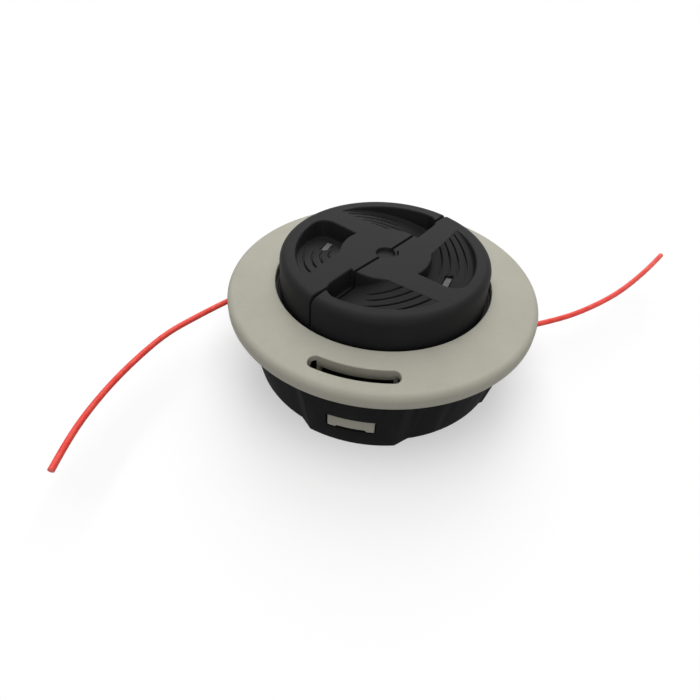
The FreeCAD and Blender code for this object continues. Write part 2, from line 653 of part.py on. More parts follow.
def pocket_corner():
    """What a pocket leaves standing where its end wall meets the rim: the corner outside a round that touches
    both."""
    across = "(sizes.pocket_corner - sizes.deep_wall_offset)"
    along = "sqrt((sizes.pocket_outer - sizes.pocket_corner) ^ 2 - %s ^ 2)" % across
    reach = "(sizes.pocket_outer + sizes.ramp_margin)"
    behind = "-(sizes.deep_wall_offset + sizes.ramp_margin)"
    stretch = "(%s / (sizes.pocket_outer - sizes.pocket_corner))" % reach
    body = doc.addObject("PartDesign::Body", "corner_prism")
    sketch = outline(body, "corner_outline", "XY_Plane", [
        (along, across),
        (along, behind),
        (reach, behind),
        ("%s * %s" % (along, stretch), "%s * %s" % (across, stretch))], FreeCAD.Placement(),
        {"Base.z": "%s - sizes.cut_margin" % POCKET_FLOOR})
    pad = body.newObject("PartDesign::Pad", "corner_pad")
    pad.Profile = sketch
    pad.setExpression("Length", "sizes.pocket_depth + 3 * sizes.cut_margin")
    doc.recompute()
    round_tool = primitive("Cylinder", "corner_round", Radius="sizes.pocket_corner",
                           Height="sizes.pocket_depth + 5 * sizes.cut_margin", x=along, y=across,
                           z="%s - 2 * sizes.cut_margin" % POCKET_FLOOR)
    return turned(cut("corner_left", body, round_tool), "pocket_corner", "sizes.deep_wall_turn")


def lofted(body, sections):
    """Joins sketches with straight lines."""
    loft = body.newObject("PartDesign::AdditiveLoft", body.Name + "_loft")
    loft.Profile = sections[0]
    loft.Sections = sections[1:]
    loft.Ruled = True
    doc.recompute()
    return body


def free_line(name, angle, points):
    """One free end of line: straight runs joined by tangent arcs, each as large as its runs allow. The points
    are set off from the eyelet's seat."""
    seat = FreeCAD.Vector(worked("%s * cos(%s)" % (EYELET_SEAT, angle)),
                          worked("%s * sin(%s)" % (EYELET_SEAT, angle)), worked(EYELET_HEIGHT))
    corners = [seat + FreeCAD.Vector(x, y, 0) for x, y in points]
    radius = worked("sizes.line_radius")
    edges = []
    start = corners[0]
    radii = []
    for before, corner, after in zip(corners, corners[1:], corners[2:]):
        back = before - corner
        ahead = after - corner
        reach = worked("sizes.line_bend_share") * min(back.Length, ahead.Length)
        half_turn = (math.pi - back.getAngle(ahead)) / 2
        radii.append(reach / math.tan(half_turn))
        enter = corner + back.normalize() * reach
        leave = corner + ahead.normalize() * reach
        middle_way = (back + ahead).normalize()
        crest = corner + middle_way * (radii[-1] / math.cos(half_turn) - radii[-1])
        edges.append(Part.LineSegment(start, enter).toShape())
        edges.append(Part.Arc(enter, crest, leave).toShape())
        start = leave
    edges.append(Part.LineSegment(start, corners[-1]).toShape())
    path = Part.Wire(edges)
    section = Part.Wire(Part.makeCircle(radius, corners[0], corners[1] - corners[0]))
    tube = doc.addObject("Part::Feature", name)
    tube.Shape = path.makePipeShell([section], True, False)
    print("%s: length %.1f, section times length %.1f, volume %.1f, radii %s" % (
        name, path.Length, math.pi * radius ** 2 * path.Length, tube.Shape.Volume,
        " ".join("%.0f" % r for r in radii)))
    return tube


LEFT_ROUTE = [(8.0, 1.0), (-0.5, -0.5), (-10.0, -10.4), (-19.2, -21.7), (-27.8, -33.1), (-33.8, -47.6),
              (-38.4, -62.6), (-41.2, -77.6), (-42.1, -90.6), (-41.7, -101.8)]
RIGHT_ROUTE = [(-8.0, -1.0), (0.5, 0.5), (13.0, 6.0), (25.8, 12.7), (37.8, 21.3), (49.2, 30.8),
               (59.4, 41.3), (69.2, 52.6), (76.8, 62.0), (82.1, 69.0)]

pieces = [housing(), arbor_bush(), eyelet("eyelet_left", "sizes.eyelet_angle"),
          eyelet("eyelet_right", "sizes.eyelet_angle + 180"), spring_washer(), compression_spring(), spool()]
pieces += line_windings()
pieces += [cover_ring(), bump_knob(), free_line("line_left", "sizes.eyelet_angle", LEFT_ROUTE),
           free_line("line_right", "sizes.eyelet_angle + 180", RIGHT_ROUTE)]
doc.recompute()

failed = [thing.Name for thing in doc.Objects if {"Invalid", "Error"} & set(thing.State)]
if failed:
    raise RuntimeError("these objects failed: " + ", ".join(failed))
for piece in pieces:
    if piece.Shape.isNull() or not piece.Shape.isValid():
        raise RuntimeError(piece.Label + " has no valid shape")

os.makedirs("parts", exist_ok=True)
for piece in pieces:
    piece.Shape.exportStep("parts/%s.step" % piece.Label)
    print(piece.Label, len(piece.Shape.Solids), "solid", round(piece.Shape.Volume, 1), "mm3")
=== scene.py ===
import math

import bmesh
import bpy
import numpy as np
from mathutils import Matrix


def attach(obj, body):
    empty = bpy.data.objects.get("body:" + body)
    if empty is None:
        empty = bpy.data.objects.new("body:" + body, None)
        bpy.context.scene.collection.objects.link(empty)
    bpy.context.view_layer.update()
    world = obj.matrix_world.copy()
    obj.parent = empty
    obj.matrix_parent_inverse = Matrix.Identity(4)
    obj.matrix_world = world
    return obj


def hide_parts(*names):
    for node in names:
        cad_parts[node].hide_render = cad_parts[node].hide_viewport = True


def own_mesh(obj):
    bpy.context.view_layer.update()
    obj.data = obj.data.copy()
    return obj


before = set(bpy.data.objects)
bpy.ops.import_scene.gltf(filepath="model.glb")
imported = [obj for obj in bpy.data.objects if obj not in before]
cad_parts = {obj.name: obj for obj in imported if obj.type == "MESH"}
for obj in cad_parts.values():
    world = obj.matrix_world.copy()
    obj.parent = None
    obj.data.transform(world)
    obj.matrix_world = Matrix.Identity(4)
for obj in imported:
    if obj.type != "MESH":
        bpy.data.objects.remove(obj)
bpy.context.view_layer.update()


# Housing: the black cup on the machine's side, moulded in one shot of glass-filled nylon, with a
# rib-backed floor and two raised latch blocks. The cover's tongues snap into the blocks' windows.

def linear(hex_colour):
    """Linear red, green, blue and alpha of an sRGB hex colour."""
    srgb = np.array([int(hex_colour[i:i + 2], 16) for i in (1, 3, 5)]) / 255
    curve = np.where(srgb <= 0.04045, srgb / 12.92, ((srgb + 0.055) / 1.055) ** 2.4)
    return tuple(curve) + (1.0,)


def add(material, kind, inputs, **settings):
    """Adds a node with its settings; an input is a value, or another node's output to link."""
    tree = material.node_tree
    node = tree.nodes.new(kind)
    for setting, value in settings.items():
        setattr(node, setting, value)
    for socket, value in inputs.items():
        if isinstance(value, bpy.types.NodeSocket):
            tree.links.new(value, node.inputs[socket])
        else:
            node.inputs[socket].default_value = value
    return node


def empty_material(name):
    """A named material with no nodes yet."""
    material = bpy.data.materials.new(name)
    material.use_nodes = True
    material.node_tree.nodes.clear()
    return material


def set_ramp(ramp, low_at, low, high_at, high):
    """Sets the two ends of a colour ramp."""
    for end, at, colour in zip(ramp.color_ramp.elements, (low_at, high_at), (low, high)):
        end.position = at
        end.color = linear(colour)


def moulded_nylon(name, low, high, roughness, sheen, grain_mm):
    """Nylon from a spark-eroded mould: a fine even grain in the surface, and a faint clouding where the
    melt met. The real grain, about 0.1 mm, is too fine to show, so it is drawn coarser."""
    cloud_mm, grain_height_mm = 14, 0.03
    material = empty_material(name)
    place = add(material, "ShaderNodeTexCoord", {}).outputs["Object"]
    cloud = add(material, "ShaderNodeTexNoise",
                {"Vector": place, "Scale": 1000 / cloud_mm, "Detail": 3.0, "Roughness": 0.6})
    grain = add(material, "ShaderNodeTexNoise",
                {"Vector": place, "Scale": 1000 / grain_mm, "Detail": 2.0, "Roughness": 0.55})
    speck = add(material, "ShaderNodeMix",
                {"Factor": 0.35, "A": cloud.outputs["Fac"], "B": grain.outputs["Fac"]})
    colour = add(material, "ShaderNodeValToRGB", {"Fac": speck.outputs["Result"]})
    set_ramp(colour, 0.3, low, 0.7, high)
    gloss = add(material, "ShaderNodeMapRange",
                {"Value": cloud.outputs["Fac"], "To Min": roughness - 0.05, "To Max": roughness + 0.07})
    bump = add(material, "ShaderNodeBump",
               {"Height": grain.outputs["Fac"], "Strength": 0.5, "Distance": grain_height_mm / 1000})
    shader = add(material, "ShaderNodeBsdfPrincipled",
                 {"Base Color": colour.outputs["Color"], "Roughness": gloss.outputs["Result"],
                  "IOR": 1.53, "Specular IOR Level": sheen, "Normal": bump.outputs["Normal"]})
    add(material, "ShaderNodeOutputMaterial", {"Surface": shader.outputs["BSDF"]})
    return material


# Black glass-filled nylon: the fibres at its surface leave it nearly matt, so the wall stays dark over
# a pale floor.
housing_nylon = moulded_nylon("black_glass_filled_nylon", "#1d1d1e", "#232324",
                              roughness=0.6, sheen=0.015, grain_mm=0.7)


def finished(name, mesh, material, body, node, merge_mm=0.0005, crease=40):
    """Merges a mesh's doubles, turns its faces outwards, keeps edges sharper than the crease sharp, and
    sets it on its body in place of a CAD node."""
    work = bmesh.new()
    work.from_mesh(mesh)
    bmesh.ops.remove_doubles(work, verts=work.verts, dist=merge_mm / 1000)
    bmesh.ops.dissolve_degenerate(work, edges=work.edges, dist=1e-7)
    bmesh.ops.recalc_face_normals(work, faces=work.faces)
    work.to_mesh(mesh)
    work.free()
    mesh.shade_smooth()
    mesh.set_sharp_from_angle(angle=math.radians(crease))
    mesh.materials.clear()
    mesh.materials.append(material)
    piece = bpy.data.objects.new(name, mesh)
    bpy.context.scene.collection.objects.link(piece)
    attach(piece, body)
    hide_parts(node)
    return piece


def rounded_copy(node, width_mm, room_mm):
    """A merged copy of a CAD node's mesh with its flat faces joined. Sharp edges get a round of three
    facets, apart from edges with a shorter one near than the room that the round needs."""
    flat, sharp = math.radians(0.5), math.radians(40)
    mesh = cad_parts[node].data.copy()
    work = bmesh.new()
    work.from_mesh(mesh)
    bmesh.ops.remove_doubles(work, verts=work.verts, dist=5e-7)
    bmesh.ops.dissolve_limit(work, angle_limit=flat, verts=work.verts, edges=work.edges)

    def shortest_near(edge):
        """Length of the shortest edge that meets either end of an edge."""
        return min(near.calc_length() for end in edge.verts for near in end.link_edges)

    rounded = [edge for edge in work.edges if edge.is_manifold and edge.calc_face_angle() > sharp
               and shortest_near(edge) > room_mm / 1000]
    bmesh.ops.bevel(work, geom=rounded, offset=width_mm / 1000, offset_type="OFFSET", segments=3,
                    profile=0.5, affect="EDGES", clamp_overlap=True)
    work.to_mesh(mesh)
    work.free()
    return mesh


finished("housing_shell", rounded_copy("housing", width_mm=0.35, room_mm=0.8), housing_nylon,
         "housing", "housing", crease=30)


# Arbor bush, eyelets and washer: steel with a bright zinc plate. The bush is moulded into the housing's
# post, the eyelets are pressed into its wall, and the washer lies on its floor.

def plated_steel(name, base, roughness):
    """Worked steel: fine marks from the tool, drawn coarser than they are so that they show, and a
    slightly mottled gloss."""
    mottle_mm, marks_mm, marks_height_mm = 3, 0.4, 0.02
    material = empty_material(name)
    place = add(material, "ShaderNodeTexCoord", {}).outputs["Object"]
    mottle = add(material, "ShaderNodeTexNoise",
                 {"Vector": place, "Scale": 1000 / mottle_mm, "Detail": 4.0})
    marks = add(material, "ShaderNodeTexNoise",
                {"Vector": place, "Scale": 1000 / marks_mm, "Detail": 1.0})
    gloss = add(material, "ShaderNodeMapRange",
                {"Value": mottle.outputs["Fac"], "To Min": roughness - 0.08, "To Max": roughness + 0.1})
    bump = add(material, "ShaderNodeBump",
               {"Height": marks.outputs["Fac"], "Strength": 0.3, "Distance": marks_height_mm / 1000})
    shader = add(material, "ShaderNodeBsdfPrincipled",
                 {"Base Color": linear(base), "Metallic": 1.0, "Roughness": gloss.outputs["Result"],
                  "Normal": bump.outputs["Normal"]})
    add(material, "ShaderNodeOutputMaterial", {"Surface": shader.outputs["BSDF"]})
    return material


def grid_mesh(name, patches):
    """One mesh from grids of points in millimetres, each with flags that close its rows or columns."""
    points = []
    faces = []
    count = 0
    for grid, rows_close, columns_close in patches:
        rows, columns = grid.shape[:2]
        index = np.arange(rows * columns).reshape(rows, columns) + count
        if columns_close:
            index = np.concatenate([index, index[:, :1]], axis=1)
        if rows_close:
            index = np.concatenate([index, index[:1]], axis=0)
        corners = np.stack([index[:-1, :-1], index[:-1, 1:], index[1:, 1:], index[1:, :-1]], -1)
        faces.append(corners.reshape(-1, 4))
        points.append(grid.reshape(-1, 3))
        count += rows * columns
    mesh = bpy.data.meshes.new(name)
    mesh.from_pydata((np.concatenate(points) / 1000).tolist(), [], np.concatenate(faces).tolist())
    return mesh


def at_angles(radius, height, angle):
    """Points from radii and heights, rows by columns, and angles in degrees for the columns or rows."""
    turn = np.radians(np.broadcast_to(angle, radius.shape))
    return np.stack([radius * np.cos(turn), radius * np.sin(turn), height], -1)


def spun(x, y, z, turned):
    """Points turned about the head's axis by an angle in degrees."""
    cos, sin = math.cos(math.radians(turned)), math.sin(math.radians(turned))
    return np.stack([x * cos - y * sin, x * sin + y * cos, z], -1)


def threaded_bush():
    """A hexagon bar and its tapped hole, rows of height by columns of angle. The hole's radius is a
    flat-topped triangle wave of the height, shifted by one pitch per turn the left-hand way, and opens
    out at both mouths."""
    corner, bottom, top, minor, major, pitch, mouth = 9.8, 0.5, 26.0, 4.46, 5.0, 1.0, 0.7
    steepness, flat = 1.4, 0.2
    angle = np.arange(0, 360, 5.0)[None]
    hexagon = corner * math.cos(math.pi / 6) / np.cos(np.radians(angle % 60 - 30))
    height = np.linspace(bottom, top, 205)[:, None]
    wave = np.abs(2 * ((height / pitch + angle / 360) % 1) - 1)
    thread = minor + (major - minor) * np.clip(steepness * wave - flat, 0, 1)
    to_mouth = np.minimum(height - bottom, top - height)
    thread = np.maximum(thread, minor + mouth - to_mouth)
    radius = np.concatenate([hexagon, hexagon, thread])
    level = np.concatenate([[[top]], [[bottom]], height]) + 0 * angle
    return at_angles(radius, level, angle)


def pressed_eyelet(turned):
    """A closed profile of distance along the eyelet's axis and radius, carried round that axis. The
    flange's outer edge is a quarter circle, and so is its mouth, which the line bends over."""
    seat, length, height, thickness = 59.0, 3.8, 23.0, 1.0
    bore, sleeve, flange, mouth, edge = 3.3, 4.2, 5.4, 0.8, 0.35
    face, back = seat + thickness, seat - length
    bend = np.radians(np.linspace(0, 90, 9))
    along = np.concatenate([[back], face - mouth + mouth * np.sin(bend),
                            face - edge + edge * np.cos(bend), [seat, seat, back]])[:, None]
    radius = np.concatenate([[bore], bore + mouth - mouth * np.cos(bend),
                             flange - edge + edge * np.sin(bend), [flange, sleeve, sleeve]])[:, None]
    around = np.radians(np.arange(0, 360, 7.5))[None]
    return spun(along + 0 * around, radius * np.cos(around), height + radius * np.sin(around), turned)


# Zinc-plated steel: bright and slightly blurred, so the flanges show as pale rings.
zinc_plate = plated_steel("zinc_plated_steel", "#b9b9b6", roughness=0.3)
finished("washer_ring", rounded_copy("spring_washer", width_mm=0.15, room_mm=0.3), zinc_plate,
         "housing", "spring_washer")
for side, turned in (("left", 175.0), ("right", 355.0)):
    finished("pressed_eyelet_" + side,
             grid_mesh("pressed_eyelet_" + side, [(pressed_eyelet(turned), True, True)]),
             zinc_plate, "housing", "eyelet_" + side)
finished("threaded_bush", grid_mesh("threaded_bush", [(threaded_bush(), True, True)]), zinc_plate,
         "housing", "arbor_bush")


# Spring: round oiled steel wire wound to an open coil. It stands on the washer round the post, and
# pushes the spool up from inside its well.

def coil(radius, wire, low, height, turns):
    """A circle of the wire's radius carried along a helix: one grid, along the coil by round the wire.
    The first and last three quarters of a turn lie nearly flat, as closed ends do, and the ends are
    capped."""
    flat, slope, sides = 0.75 / turns, 0.55, 14
    along = np.linspace(0, 1, int(turns * 48) + 1)
    climb = np.interp(along, [0, flat, 1 - flat, 1], [0, slope * flat, 1 - slope * flat, 1])
    angle = 2 * math.pi * turns * along
    outward = np.stack([np.cos(angle), np.sin(angle), 0 * angle], -1)
    upward = np.array([0.0, 0.0, 1.0])
    middle = radius * outward + (low + wire + climb * (height - 2 * wire))[:, None] * upward
    turn = np.linspace(0, 2 * math.pi, sides, endpoint=False)[None, :, None]
    grid = middle[:, None] + wire * (np.cos(turn) * outward[:, None] + np.sin(turn) * upward)
    caps = [np.repeat(middle[end, None][None], sides, axis=1) for end in (0, -1)]
    return np.concatenate([caps[0], grid, caps[1]])


# Oiled spring wire: darker than the plated pieces, with fine marks from the drawing die.
spring_wire = plated_steel("oiled_spring_wire", "#7d7c7a", roughness=0.32)
spring_grid = coil(radius=13.2, wire=0.8, low=5.5, height=15.0, turns=5)
spring = finished("spring_coil", grid_mesh("spring_coil", [(spring_grid, False, True)]), spring_wire,
                  "spring", "compression_spring", merge_mm=0.002)
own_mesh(spring)


# Spool: the reel of dark grey nylon inside, moulded with two chambers of line, dogs on both faces and
# two hooks that hold the knob. The stored line is wound on its drum in close turns.

# Dark grey nylon: a neutral grey, darker than the cover, that shows as two paler hooks in the knob's
# pockets.
spool_nylon = moulded_nylon("dark_grey_nylon", "#4e4f4f", "#575858",
                            roughness=0.5, sheen=0.2, grain_mm=0.9)
finished("spool_reel", rounded_copy("spool", width_mm=0.3, room_mm=0.7), spool_nylon,
         "spool", "spool", crease=30)


def clear_nylon_line(name, low, high):
    """Extruded nylon: glossy, with light soaking a little way in, and a colour that varies along it."""
    cloud_mm = 5
    material = empty_material(name)
    place = add(material, "ShaderNodeTexCoord", {}).outputs["Object"]
    cloud = add(material, "ShaderNodeTexNoise",
                {"Vector": place, "Scale": 1000 / cloud_mm, "Detail": 2.0})
    colour = add(material, "ShaderNodeValToRGB", {"Fac": cloud.outputs["Fac"]})
    set_ramp(colour, 0.35, low, 0.65, high)
    shader = add(material, "ShaderNodeBsdfPrincipled",
                 {"Base Color": colour.outputs["Color"], "Roughness": 0.38, "IOR": 1.53,
                  "Specular IOR Level": 0.25, "Subsurface Weight": 0.25,
                  "Subsurface Radius": (0.003, 0.0008, 0.0006), "Subsurface Scale": 0.5})
    add(material, "ShaderNodeOutputMaterial", {"Surface": shader.outputs["BSDF"]})
    return material


# Red nylon line: bright and smooth, and softer at its edges where the light soaks in.
red_line = clear_nylon_line("red_nylon_line", "#f0453a", "#f85a4e")


def wound_turns(low, high):
    """The stored line's skin, rows of height by columns of angle. Its outside is a row of half circles
    as wide as the line, moved up by one turn's height in each turn of angle. A plain bore and two flat
    ends close the ring."""
    bore, outside, line, turns = 20.05, 34.0, 1.2, 3
    angle = np.arange(0, 360, 3.75)[None]
    height = np.linspace(low, high, turns * 14 + 1)[:, None]
    phase = ((height - low) / (high - low) * turns - angle / 360) % 1
    bulge = line * np.sqrt(np.maximum(1 - (2 * phase - 1) ** 2, 0))
    radius = np.concatenate([bore + 0 * angle, bore + 0 * angle, outside - line + bulge])
    level = np.concatenate([[[high]], [[low]], height]) + 0 * angle
    return at_angles(radius, level, angle)


for chamber, low, high in (("upper", 24.7, 32.6), ("lower", 14.8, 22.7)):
    finished("wound_line_" + chamber,
             grid_mesh("wound_line_" + chamber, [(wound_turns(low, high), True, True)]),
             red_line, "spool", "line_winding_" + chamber, crease=50)


# Cover ring: the light grey moulded ring that closes the housing. Its crowned top has an arc slot above
# each latch tongue, and the tongues' lugs show in the windows of the housing's blocks.

def crowned_ring():
    """The ring's skin in grids of profile by angle. The top is split along the slots' middle circle into
    an inner and an outer strip. Their edge rows are lines of equal distance from the slot, which close on
    the middle circle past its round ends, and the top drops by a quarter circle within that distance.
    Slot walls hang from the last row."""
    hole, rim, rim_top, hole_top, bottom, seat = 45.0, 65.0, 37.4, 40.6, 31.5, 33.4
    under, dogs_end, skirt_inside, skirt_under, skirt_middle = 37.9, 50.5, 54.9, 36.3, 55.2
    slot_middle, slot_end, split, cap = 262.3, 17.5, 56.05, 2.65
    rim_round, hole_round, slot_round, lip = 3.0, 0.4, 0.4, 63.3
    low_edge, low_bend, lip_edge, mid_wall = 0.7, 0.2, 0.4, 0.9
    round_steps = np.array([0.0, 0.12, 0.3, 0.55, 0.8, 1.0])
    straight = slot_end - math.degrees(cap / split)
    cap_steps = np.concatenate([cap * np.sin(np.radians(np.linspace(0, 90, 15))),
                                cap + slot_round * round_steps[1:]])
    past_cap = straight + np.degrees(cap_steps / split)
    forward = np.concatenate([np.linspace(0, straight, 17)[:-1], past_cap,
                              np.linspace(past_cap[-1], 90, 61)[1:]])
    turn = np.concatenate([-forward[:0:-1], forward[:-1]])
    past = np.radians(np.maximum(np.abs(turn) - straight, 0)) * split
    columns = np.concatenate([turn, turn + 180]) + slot_middle
    past = np.concatenate([past, past])[None]

    def half_width(distance):
        """Half the width, at each column, of the slot's outline grown by a distance: even along the
        straight run, and a half circle past it."""
        return np.sqrt(np.maximum((cap + distance) ** 2 - past ** 2, 0))

    def top(radius):
        """Height of the top: a straight slope from the hole to the rim, less the round at the slot."""
        off = np.hypot(past, radius - split) - cap
        near = np.clip(slot_round - off, 0, slot_round)
        drop = slot_round - np.sqrt(slot_round ** 2 - near ** 2)
        return hole_top + (rim_top - hole_top) * (radius - hole) / (rim - hole) - drop

    def level(profile):
        """Radii and heights of a profile that is the same at every column."""
        radius, height = np.array(profile).T[:, :, None]
        return radius + 0 * past, height + 0 * past

    quarter = np.radians(np.linspace(0, 90, 9))
    spread = np.linspace(0, 1, 10)[1:, None]
    edge_off = slot_round * round_steps[-2::-1, None]

    inner_start = hole + hole_round
    hole_crest = top(np.array([[inner_start]]))[0, 0]
    hole_profile = [(hole, under), (hole, under + mid_wall)]
    hole_profile += [(hole + hole_round * (1 - math.cos(bend)),
                      hole_crest - hole_round * (1 - math.sin(bend))) for bend in quarter]
    hole_r, hole_z = level(hole_profile)
    inner_r = inner_start + spread * (split - half_width(slot_round) - inner_start)
    inner_edge_r = split - half_width(edge_off)
    inner = at_angles(np.concatenate([hole_r, inner_r, inner_edge_r]),
                      np.concatenate([hole_z, top(inner_r), top(inner_edge_r)]), columns)

    outer_start = rim - rim_round
    rim_crest = top(np.array([[outer_start]]))[0, 0]
    outer_edge_r = split + half_width(edge_off[::-1])
    outer_r = split + half_width(slot_round) + spread * (outer_start - split - half_width(slot_round))
    rim_profile = [(outer_start + rim_round * math.sin(bend),
                    rim_crest - rim_round * (1 - math.cos(bend))) for bend in quarter[1:]]
    rim_profile += [(rim, seat), (rim, bottom + low_edge), (rim - low_bend, bottom + low_bend),
                    (rim - low_edge, bottom), (lip + lip_edge, bottom), (lip, bottom + lip_edge), (lip, seat)]
    rim_r, rim_z = level(rim_profile)
    seat_r = lip + spread * (split + half_width(0) - lip)
    outer = at_angles(np.concatenate([outer_edge_r, outer_r, rim_r, seat_r]),
                      np.concatenate([top(outer_edge_r), top(outer_r), rim_z, seat + 0 * seat_r]), columns)

    below_r = np.array([hole, (hole + dogs_end) / 2, dogs_end, skirt_inside, skirt_middle, split])
    below_z = np.array([under, under, under, skirt_under, seat, seat])
    under_r = np.minimum(below_r[:, None], split - half_width(0))
    under_z = np.interp(under_r, below_r, below_z)
    slot_foot = under_z[-1:]
    patches = [(inner, False, True), (outer, False, True),
               (at_angles(under_r, under_z, columns), False, True)]

    down = np.linspace(0, 1, 7)[:, None]
    open_columns = np.flatnonzero(past[0] < cap + 1e-9)
    for near in np.split(open_columns, 2):
        for side, wall_foot in ((-1, slot_foot), (1, seat + 0 * slot_foot)):
            wall_r = (split + side * half_width(0) + 0 * down)[:, near]
            wall_top = top(split + side * half_width(0))[:, near]
            wall_z = wall_top + down * (wall_foot[:, near] - wall_top)
            patches.append((at_angles(wall_r, wall_z, columns[near]), False, False))
    return patches


def curved_plate(inner, outer, bottom, top, middle, span, rounding):
    """A block bent round the head's axis: a rounded rectangle carried over a span of angle, and drawn in
    at both ends along a quarter circle of the same rounding."""
    bend, fine_bend = np.radians(np.linspace(0, 90, 5)), np.radians(np.linspace(0, 90, 6))
    around = np.concatenate([bend + quarter * math.pi / 2 for quarter in range(4)])
    sign = np.repeat(np.array([(1, 1), (-1, 1), (-1, -1), (1, -1)]), len(bend), axis=0)
    half = np.array([(outer - inner) / 2, (top - bottom) / 2]) - rounding
    middle_radius = (inner + outer) / 2
    end = math.degrees(rounding / middle_radius)
    steps = max(23, int(span / 2))
    drawn_in = end * (1 - np.cos(fine_bend))
    run = np.linspace(-span / 2 + end, span / 2 - end, steps + 2)[1:-1]
    along = np.concatenate([-span / 2 + drawn_in, run, span / 2 - drawn_in[::-1]])
    full = np.concatenate([np.sin(fine_bend), np.ones(steps), np.sin(fine_bend[::-1])]) * rounding
    across = sign[:, 0] * half[0] + full[:, None] * np.cos(around)
    upward = sign[:, 1] * half[1] + full[:, None] * np.sin(around)
    grid = at_angles(middle_radius + across, (bottom + top) / 2 + upward, (middle + along)[:, None])
    caps = [grid[row, None].mean(axis=1, keepdims=True) + 0 * grid[:1] for row in (0, -1)]
    return np.concatenate([caps[0], grid, caps[1]]), False, True


def ratchet_dog(inner, face, turned):
    """A wedge under a level face: an upright flank at its start, and a ramp after it that runs out."""
    width, length, height, root, thin = 3.0, 7.0, 1.5, 0.3, 0.02
    across = inner + width * np.array([0, 1, 1, 0])
    flank = np.stack([across, 0 * across, face + np.array([-height, -height, root, root])], -1)
    tip = np.stack([across, 0 * across + length, face + np.array([-thin, -thin, root, root])], -1)
    grid = np.stack([flank.mean(axis=0) + 0 * flank, flank, tip, tip.mean(axis=0) + 0 * tip])
    return spun(*np.moveaxis(grid, -1, 0), turned), False, True


# Light grey nylon: a warm stone grey with a satin surface, which shades softly over the crowned top.
grey_nylon = moulded_nylon("light_grey_nylon", "#a8a698", "#b2b0a2",
                           roughness=0.55, sheen=0.3, grain_mm=0.9)
ring_patches = crowned_ring()
ring_patches += [ratchet_dog(inner=46.0, face=37.9, turned=45.0 * k) for k in range(8)]
ring_patches += [curved_plate(54.78, 56.58, bottom=27.8, top=37.0, middle=skirt, span=145.0, rounding=0.3)
                 for skirt in (352.3, 172.3)]
leaf, lug = (51.1, 53.38), (53.0, 58.6)
for latch in (263.0, 83.0):
    # The leaf, its root, and an arm at each side that joins them, then the lug and its two feet.
    ring_patches += [
        curved_plate(*leaf, bottom=8.6, top=29.0, middle=latch, span=33.0, rounding=0.4),
        curved_plate(*leaf, bottom=34.1, top=37.9, middle=latch, span=33.0, rounding=0.3),
        curved_plate(*leaf, bottom=27.5, top=36.6, middle=latch - 15.75, span=1.5, rounding=0.4),
        curved_plate(*leaf, bottom=27.5, top=36.6, middle=latch + 15.75, span=1.5, rounding=0.4),
        curved_plate(*lug, bottom=10.8, top=17.4, middle=latch, span=18.16, rounding=0.35),
        curved_plate(*lug, bottom=10.0, top=12.0, middle=latch - 7.38, span=3.4, rounding=0.35),
        curved_plate(*lug, bottom=10.0, top=12.0, middle=latch + 7.38, span=3.4, rounding=0.35)]
finished("cover_ring_skin", grid_mesh("cover_ring_skin", ring_patches), grey_nylon,
         "housing", "cover_ring", merge_mm=0.002)


# Knob: the black moulded button that is tapped on the ground and turned by hand. Four finger pockets
# ramp up from an upright wall, with grooves for grip, and a slit lets it spring over the spool's hooks.

def sunk(inside, deep, top_round, foot_round, draft):
    """Depth below an edge at a distance inside it: a quarter circle over the edge, a steep wall with a
    little draft, a quarter circle at its foot, then level. Both rounds shrink where the wall is low."""
    round_share = 0.45
    deep = np.maximum(deep, 1e-6)
    top = np.minimum(top_round, round_share * deep)
    foot = np.minimum(foot_round, round_share * deep)
    over = top - np.sqrt(np.maximum(top ** 2 - np.clip(inside + top, 0, top) ** 2, 0))
    wall = top + (deep - foot - top) * np.clip(inside / draft, 0, 1)
    left = np.clip(draft + foot - inside, 0, foot)
    low = deep - foot + np.sqrt(np.maximum(foot ** 2 - left ** 2, 0))
    return np.where(inside < 0, over, np.where(inside < draft, wall, low))


